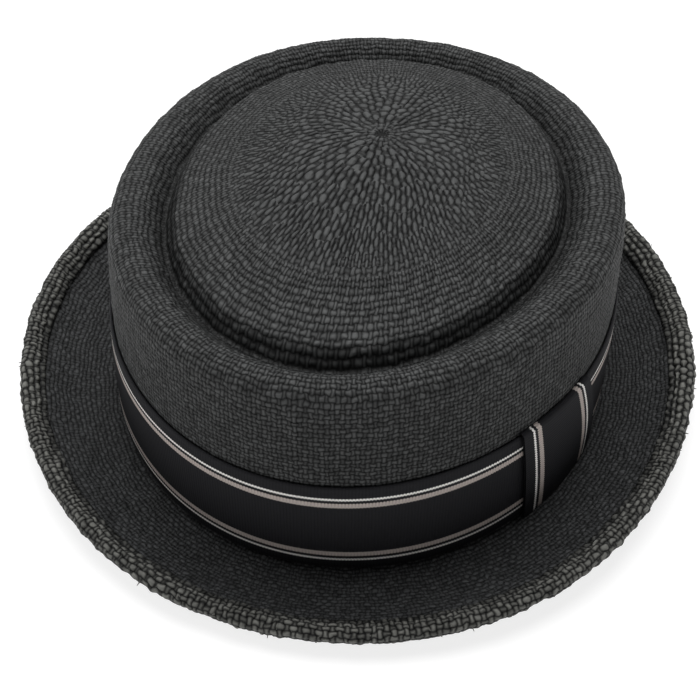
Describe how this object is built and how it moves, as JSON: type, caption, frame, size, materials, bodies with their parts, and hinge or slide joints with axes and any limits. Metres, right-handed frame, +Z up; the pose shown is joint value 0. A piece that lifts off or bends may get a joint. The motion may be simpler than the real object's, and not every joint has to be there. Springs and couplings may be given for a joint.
{
  "type": "porkpie hat",
  "caption": "Porkpie hat of woven straw: grooved crown with a domed tip, short turned-up brim with an overcast edge, striped ribbon band and flat keeper.",
  "frame": {"origin": "on the surface the hat rests on, under the middle of its box", "axes": "+Z up, the front of the hat towards -Y, the wearer's left towards +X where the band's keeper is"},
  "size_m": [0.2422, 0.2702, 0.0883],
  "materials": {
    "straw": "charcoal woven paper straw, dry, with a soft sheen on the strands",
    "straw_edge": "lighter, coarser overcast straw, dry",
    "ribbon": "black grosgrain ribbon with a thin off-white line and a taupe stripe near each edge"
  },
  "bodies": {
    "root": {"straw_body": "straw", "edge_binding": "straw_edge", "hatband": "ribbon", "band_keeper": "ribbon"}
  },
  "joints": []
}
